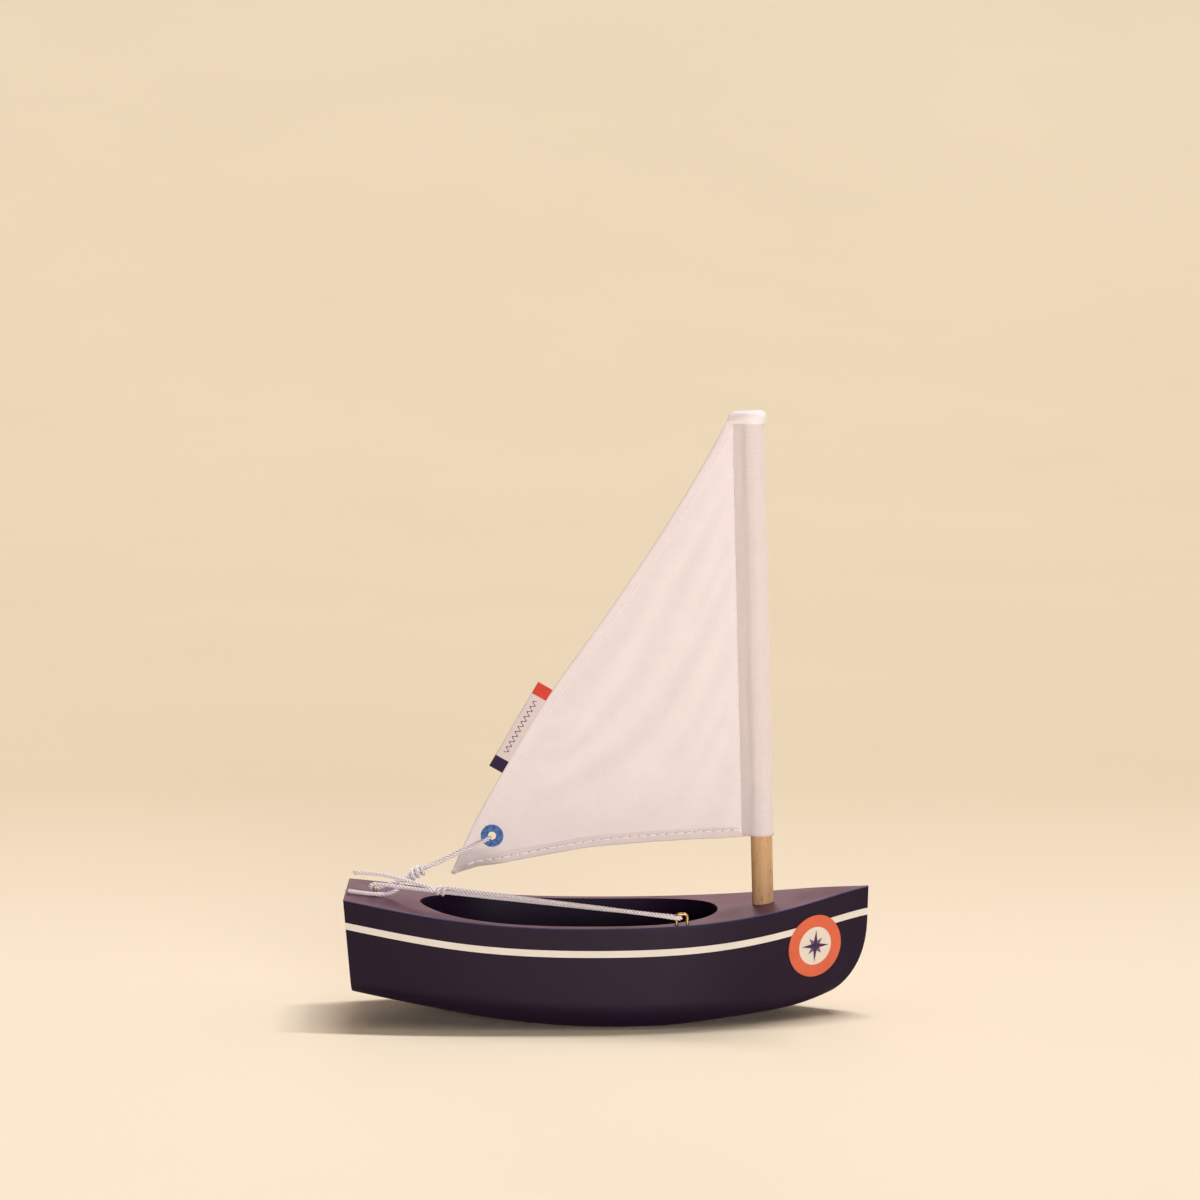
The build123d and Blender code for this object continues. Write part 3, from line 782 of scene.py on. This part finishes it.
def set_shape(x, z):
    """How far the cloth lies to port of the middle plane before wrinkles: its belly and its turned clew."""
    foot_z = np.interp(x, [p[0] for p in FOOT], [p[1] for p in FOOT])
    above = z - foot_z
    leech_x = np.interp(z, [p[1] for p in LEECH[::-1]], [p[0] for p in LEECH[::-1]])
    chord = np.clip((x - leech_x) / np.maximum(seam_x(z) - leech_x, 1.0), 0, 1)
    hollow = np.sin(np.pi * chord) ** 0.8
    belly = -1.9 * hollow * smooth_step(above, -2.0, 15.0) * (1 - 0.65 * smooth_step(z, 70, 180))
    hem_flare = -0.5 * hollow * (1 - smooth_step(above, 0.0, 3.6))
    along = unit(CREASE_TO - CREASE_FROM)
    below = (z - CREASE_FROM[1]) * along[0] - (x - CREASE_FROM[0]) * along[1]
    flap = 0.8 * np.maximum(below, 0.0) * (1 - smooth_step(x, -44.0, -33.0))
    return belly + hem_flare + flap


WRINKLE_SCALE = 20.0      # the cloth is simulated this much larger, where the solver works best


def hang_cloth(points, faces):
    """Simulates the stretched sail, held at its luff, head and clew, and gives how far it moves to port."""
    shaped = set_shape(points[:, 0], points[:, 1])
    mesh = bpy.data.meshes.new("hanging")
    scale = MM * WRINKLE_SCALE
    mesh.from_pydata([(x * scale, y * scale, z * scale) for (x, z), y in zip(points, shaped)], [], faces)
    cloth = put_in_scene("hanging", mesh)
    held = cloth.vertex_groups.new(name="held")
    for k, (x, z) in enumerate(points):
        at_luff = x > seam_x(z) - 0.8
        at_clew = np.hypot(x - EYELET[0], z - EYELET[1]) < 4.2 or x < -44.0
        if at_luff or at_clew or z > HEAD_Z - 5.0:
            held.add([k], 1.0, "REPLACE")
    solver = cloth.modifiers.new("cloth", "CLOTH")
    solver.settings.quality = 6
    solver.settings.mass = 0.25
    solver.settings.tension_stiffness = 25
    solver.settings.compression_stiffness = 25
    solver.settings.shear_stiffness = 12
    solver.settings.bending_stiffness = 1.2
    solver.settings.air_damping = 3.0
    solver.settings.vertex_group_mass = "held"
    solver.settings.shrink_min = -0.012
    solver.settings.effector_weights.gravity = 0.35
    solver.collision_settings.use_collision = False
    frames = 26
    solver.point_cache.frame_end = frames
    for step in range(1, frames + 1):
        bpy.context.scene.frame_set(step)
    done = cloth.evaluated_get(bpy.context.evaluated_depsgraph_get())
    moved = np.array([v.co.y for v in done.data.vertices]) / scale
    bpy.data.objects.remove(cloth)
    bpy.context.scene.frame_set(1)
    calm = smooth_step(points[:, 0], -42.0, -16.0)
    return shaped + 0.35 * calm * np.clip(moved - shaped, -2.0, 2.0)


class Sail:
    """The finished surface of the sail panel, which hems, stitches and label follow."""

    def __init__(self):
        self.flat, self.faces = panel_shape()
        self.port = hang_cloth(self.flat, self.faces)
        self.points = np.stack([self.flat[:, 0], self.port, self.flat[:, 1]], axis=1)
        self.tree = BVHTree.FromPolygons([Vector(p) for p in self.points], self.faces)

    def at(self, x, z, lift=0.0):
        """The point of the cloth at (x, z), lifted to port by a distance."""
        hit = self.tree.ray_cast(Vector((x, -60, z)), Vector((0, 1, 0)))[0]
        if hit is None:
            hit = self.tree.find_nearest(Vector((x, 0, z)))[0]
        return np.array([x, hit.y + lift, z])


def across_line(line):
    """Directions to the left of a flat line, at each of its points."""
    ahead = headings(line)
    return np.stack([-ahead[:, 1], ahead[:, 0]], axis=1)


def hem(sail, name, line, inward, width, half_edge, half_inner, material, seed):
    """A folded hem along an edge of the sail: full and round at the edge, thinner inside."""
    shape = Shape()
    profile = [(width + 0.5, -0.12), (width, -0.8 * half_inner), (0.7 * width, -half_inner),
               (0.75, -half_edge), (0.35, -half_edge + 0.03), (0.04, -0.75 * half_edge), (-0.08, 0.0),
               (0.04, 0.75 * half_edge), (0.35, half_edge - 0.03), (0.75, half_edge),
               (0.7 * width, half_inner), (width, 0.8 * half_inner), (width + 0.5, 0.12)]
    waver = uneven(np.arange(len(line)), 5, -0.12, 0.12, seed)
    along = distances(line)
    narrow = 0.25 + 0.75 * smooth_step(np.minimum(along, along[-1] - along), 0.0, 5.0)
    rows, uv_rows = [], []
    for (x, z), (nx, nz), w, n, s in zip(line, inward, waver, narrow, along):
        ring, uv_ring = [], []
        for into, lift in profile:
            depth = n * (into + (w if into > 0.5 * width else 0.3 * w))
            spot = sail.at(x + nx * max(depth, 0.25), z + nz * max(depth, 0.25))
            ring.append((x + nx * depth, spot[1] + lift, z + nz * depth))
            uv_ring.append((s, depth + 3 * (lift > 0)))
        rows.append(ring)
        uv_rows.append(uv_ring)
    shape.grid(rows, uv_rows, closed=True)
    return dress(shape.make(name), "sail", material)


def stitches(sail, name, line, pitch, length, radius, lift, material, seed, between=0):
    """A row of running stitches on both faces of the cloth, or of small dark marks between them that paint
    the shade of the needle holes.
    """
    shape = Shape()
    chance = random.Random(seed)
    total = np.linalg.norm(np.diff(line, axis=0), axis=1).sum()
    count = int(total / pitch)
    dense = even_line(line, count * 8 + 1)
    ahead = headings(dense)
    for side in (-1, 1):
        for k in range(count):
            centre, direction = dense[k * 8 + 4 - between], ahead[k * 8 + 4 - between]
            lean = chance.uniform(-0.06, 0.06)
            direction = np.array([direction[0] - lean * direction[1], direction[1] + lean * direction[0]])
            half = length / 2 * chance.uniform(0.88, 1.08)
            path = []
            for share, rise in ((-1.0, -0.25), (-0.85, 0.45), (-0.4, 0.95), (0.0, 1.0), (0.4, 0.95),
                                (0.85, 0.45), (1.0, -0.25)):
                x, z = centre + direction * half * share
                path.append(sail.at(x, z, side * (lift + rise * radius)))
            shape.tube(path, radius, sides=7)
    return dress(shape.make(name), "sail", material)


def make_panel(sail, material):
    """The sail's triangular panel."""
    shape = Shape()
    shape.points.append(sail.points)
    shape.uvs.append(sail.flat)
    shape.faces = [tuple(f) for f in sail.faces]
    panel = dress(shape.make("sail_cloth_panel"), "sail", material)
    thicken(panel, PANEL_CLOTH, even=False)
    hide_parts("sail_panel")
    return panel


def teardrop_ring(height, reach, point_aft, count):
    """A closed ring round the mast: half a circle ahead, drawn out to a point at the seam."""
    turn = math.acos(reach / point_aft)
    centre = MAST_FOOT + MAST_UP * (height - MAST_FOOT[2]) / math.cos(MAST_RAKE)
    sweep = [turn + (2 * math.pi - 2 * turn) * k / (count - 1) for k in range(count)]
    straight = np.linspace(0, 1, 9)[:-1]
    touch = np.array([reach * math.cos(turn), reach * math.sin(turn)])
    tip = np.array([point_aft, 0.0])
    flat = [tip + (touch - tip) * s for s in straight]
    flat += [np.array([reach * math.cos(a), reach * math.sin(a)]) for a in sweep]
    flat += [np.array([touch[0], -touch[1]]) + (tip - np.array([touch[0], -touch[1]])) * s
             for s in np.linspace(0, 1, 9)[1:-1]]
    return centre, np.array(flat)


def make_sleeve(material):
    """The luff sleeve: a cloth tube sewn round the mast, hemmed at its foot."""
    shape = Shape()
    chance = random.Random(23)
    streak_turns = [chance.uniform(0, 2 * math.pi) for _ in range(7)]
    streak_phase = [chance.uniform(0, 2 * math.pi) for _ in range(7)]
    rows, uv_rows = [], []
    heights = np.linspace(SAIL_FOOT_Z + 0.15, HEAD_Z + 0.6, 150)
    for height in heights:
        foot_hem = 0.10 * (1 - smooth_step(height, SAIL_FOOT_Z + 2.6, SAIL_FOOT_Z + 3.1))
        centre, ring = teardrop_ring(height, 3.93, SEAM_AFT + 0.25, 33)
        around = distances(ring)
        row, uv_row = [], []
        for (aft, port), s in zip(ring, around):
            angle = math.atan2(port, aft)
            ripple = sum(math.sin((3 + k) * angle + streak_turns[k] + math.sin(height * (0.035 + 0.011 * k)
                                                                             + streak_phase[k]))
                         for k in range(7)) * 0.022
            fold = 0.22 * math.exp(-((height - 70.5 - 1.5 * (-port)) / 2.2) ** 2) * (0.5 - 0.5 * port / 4.0)
            pinch = 0.03 * math.sin(height * 0.9 + 2.0 * angle) * math.sin(height * 0.173)
            swell = 1 + (ripple + foot_hem - 0.6 * fold + pinch) / 3.9
            near_seam = smooth_step(aft, 4.4, 6.2)
            swell = swell * (1 - near_seam) + near_seam
            row.append(centre + MAST_AFT * aft * swell + PORT * port * swell)
            uv_row.append((s, height))
        rows.append(row)
        uv_rows.append(uv_row)
    shape.grid(rows, uv_rows, closed=True)
    sleeve = dress(shape.make("sail_sleeve"), "sail", material)
    thicken(sleeve, 0.3, offset=1.0)
    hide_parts("luff_sleeve")
    return sleeve


def make_head(material):
    """The folded cloth that closes the sleeve's top, plump like a small pillow."""
    shape = Shape()
    levels = [(192.7, 0.93), (193.1, 1.03), (193.9, 1.10), (194.9, 1.13), (195.8, 1.10), (196.4, 1.02),
              (196.8, 0.88), (197.0, 0.66), (197.05, 0.36)]
    chance = random.Random(5)
    phases = [chance.uniform(0, 2 * math.pi) for _ in range(5)]
    rows, uv_rows = [], []
    for height, swell in levels:
        centre, ring = teardrop_ring(height, 4.15, 7.4, 41)
        row, uv_row = [], []
        for k, (aft, port) in enumerate(ring):
            angle = math.atan2(port, aft)
            crumple = 1 + 0.0125 * sum(math.sin((2 + j) * angle + phases[j] + 0.9 * height) for j in range(5))
            fullness = swell * crumple
            lift = 0.35 * math.exp(-((aft - 5.5) / 3.0) ** 2) - 0.25 * smooth_step(-aft, 1.0, 4.5)
            row.append(centre + MAST_AFT * (aft * fullness) + PORT * (port * fullness * 1.04)
                       + np.array([0, 0, lift * (0.4 if height < 194 else -0.2)]))
            uv_row.append((0.9 * k, 1.4 * height))
        rows.append(row)
        uv_rows.append(uv_row)
    base = shape.grid(rows, uv_rows, closed=True)
    width = len(rows[0])
    centre, _ = teardrop_ring(197.05, 4.15, 7.4, 41)
    shape.cap(base + (len(levels) - 1) * width, width, centre + MAST_AFT * 0.8, (0, 0))
    head = dress(shape.make("sail_head_fold"), "sail", material)
    finer = head.modifiers.new("round", "SUBSURF")
    finer.levels = finer.render_levels = 1
    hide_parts("sail_head")
    return head


def make_clew_fray(material):
    """Loose thread ends where the two hems meet at the clew."""
    shape = Shape()
    end = np.array([CLEW_TIP[0] - 0.3, set_shape(*CLEW_TIP), CLEW_TIP[1] + 0.5])
    fray(shape, end, unit(np.array([-0.8, 0.1, -0.5])), 17, count=26)
    for turn in range(5):
        spin = np.linspace(0, 2 * math.pi, 12)
        knot = [end + (0.45 * math.cos(a), 0.5 * math.sin(a + turn), 0.4 * math.sin(a)) for a in spin]
        shape.tube(knot, 0.13, sides=6)
    return dress(shape.make("clew_fray"), "sail", material)


def make_eyelet(sail):
    """The clew eyelet: thread wound round its rim all the way, as on a buttonhole."""
    blue = thread_finish("eyelet_cotton", (0.18, 0.40, 0.90), (0.006, 0.02, 0.13), twist=0.6)
    shape = Shape()
    chance = random.Random(31)
    inner, outer, count = EYELET_HOLE / 2 + 0.02, EYELET_OUTER / 2 - 0.15, 30

    def round_hole(radius, angle, lift=0.0):
        return sail.at(EYELET[0] + radius * math.cos(angle), EYELET[1] + radius * math.sin(angle), lift)

    for side in (-1, 1):
        for k in range(count):
            angle = 2 * math.pi * (k + chance.uniform(-0.14, 0.14)) / count
            lean = chance.uniform(-0.10, 0.10)
            reach = outer + chance.uniform(-0.25, 0.15)
            rise = chance.uniform(0.55, 0.85)
            path = []
            for share, height in ((0.0, 0.05), (0.03, 0.55), (0.18, 0.95), (0.5, 1.0), (0.8, 0.8),
                                  (0.96, 0.5), (1.0, 0.05)):
                radius = inner + (reach - inner) * share
                path.append(round_hole(radius, angle + lean * share, side * height * rise))
            shape.tube(path, [0.17, 0.19, 0.22, 0.25, 0.26, 0.25, 0.20], sides=7, shift=9.0 * k)
    for radius in (inner + 0.55, outer - 0.5):
        shape.tube([round_hole(radius, a) for a in np.linspace(0, 2 * math.pi, 60)], 0.52, sides=10)
    rim = [round_hole(outer + 0.05, a, -0.32 + 0.08 * math.sin(17 * a))
           for a in np.linspace(0, 2 * math.pi * 0.995, 90)]
    shape.tube(rim, 0.26, sides=6)
    eyelet = dress(shape.make("clew_eyelet_thread"), "sail", blue)
    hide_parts("clew_eyelet")
    return eyelet


LABEL_TOP, LABEL_BOTTOM = np.array([-18.0, 106.2]), np.array([-34.0, 78.9])


def make_label(sail):
    """The woven label: a ribbon folded double, its raw ends sewn into the leech."""
    run = LABEL_TOP - LABEL_BOTTOM
    along = unit(run)
    out = np.array([-along[1], along[0]])
    half = 0.30
    bend = [math.radians(a) for a in range(-90, 91, 30)]
    profile = [(-1.2, -0.06), (0.4, -0.1), (1.6, -0.7 * half), (LABEL_OUT - half, -half)]
    profile += [(LABEL_OUT - half + half * math.cos(a), half * math.sin(a)) for a in bend[1:-1]]
    profile += [(x, -y) for x, y in profile[3::-1]]
    shape = Shape()
    rows, uv_rows = [], []
    for share in np.linspace(0, 1, 40):
        foot = LABEL_BOTTOM + run * share
        curl = 0.45 * math.sin(math.pi * share) + 0.25 * math.sin(2.6 * math.pi * share + 0.5)
        row, uv_row = [], []
        for depth, lift in profile:
            spot = foot + out * depth
            lean = curl * smooth_step(depth, 0.0, LABEL_OUT)
            base = sail.at(*(foot - out * 0.6))[1]
            row.append((spot[0], base + lift - lean, spot[1]))
            uv_row.append((share * LABEL_LENGTH, depth))
        rows.append(row)
        uv_rows.append(uv_row)
    shape.grid(rows, uv_rows)
    label = dress(shape.make("leech_label_ribbon"), "sail", label_finish())
    thicken(label, 0.2)
    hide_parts("leech_label")
    return label


def make_sail():
    """Every piece of cloth, thread and ribbon of the sail."""
    sail = Sail()
    cotton = cloth_finish("sail_cotton", (0.91, 0.85, 0.84), (0.86, 0.795, 0.78))
    # Painted shade: the sleeve's cotton is a darker copy of the sail's cotton, for the double layer with the
    # mast behind it.
    sleeve_cotton_painted_shade = cloth_finish("sleeve_cotton_painted_shade", (0.86, 0.79, 0.77), (0.78, 0.71, 0.69), streaks=0.75)
    # Painted shade: the foot hem's cotton is a darker copy of the sail's cotton.
    hem_cotton_painted_shade = cloth_finish("hem_cotton_painted_shade", (0.84, 0.765, 0.74), (0.76, 0.68, 0.655), relief=0.04)
    # Painted light: the head fold's cotton is a lighter copy of the sail's cotton, as if lit from above.
    cap_cotton_painted_light = cloth_finish("cap_cotton_painted_light", (0.97, 0.94, 0.94), (0.91, 0.87, 0.87), relief=0.04)
    white_thread = thread_finish("sewing_thread", (1.0, 0.98, 0.98), (0.95, 0.91, 0.91), twist=0.6)

    panel = make_panel(sail, cotton)
    leech = smooth_line(LEECH, 220)
    foot = smooth_line(FOOT, 170)
    leech_hem = hem(sail, "leech_hem", leech, across_line(leech), 3.0, 0.46, 0.22, cotton, 3)
    foot_hem = hem(sail, "foot_hem", foot, across_line(foot), 3.4, 0.50, 0.24, hem_cotton_painted_shade, 4)
    leech_row = leech + across_line(leech) * 2.85
    foot_row = (foot + across_line(foot) * np.linspace(1.7, 2.5, len(foot))[:, None])[8:-3]
    rows = [
        stitches(sail, "leech_stitches", leech_row[6:-8], 2.6, 1.7, 0.13, 0.22, white_thread, 8),
        stitches(sail, "foot_stitches", foot_row, 3.0, 2.3, 0.33, 0.36, white_thread, 9),
    ]
    # Painted shade: small dark marks at the needle holes between the foot stitches.
    shade = thread_finish("stitch_hole_painted_shade", (0.66, 0.55, 0.52), (0.55, 0.45, 0.43))
    rows.append(stitches(sail, "foot_needle_hole_painted_shade", foot_row, 3.0, 0.6, 0.16, 0.26, shade, 12, between=4))
    seam = np.array([(seam_x(z) - 0.15, z) for z in np.linspace(60.5, 191, 60)])
    rows.append(stitches(sail, "seam_stitches", seam, 2.4, 1.5, 0.12, 0.24, white_thread, 10))
    with_panel = [leech_hem, foot_hem, *rows, make_clew_fray(white_thread)]
    make_sleeve(sleeve_cotton_painted_shade)
    make_head(cap_cotton_painted_light)
    make_eyelet(sail)
    make_label(sail)


# ------------------------ the scene
make_camera()
make_floor()
make_light()
make_cords()
make_hull()
make_sail()
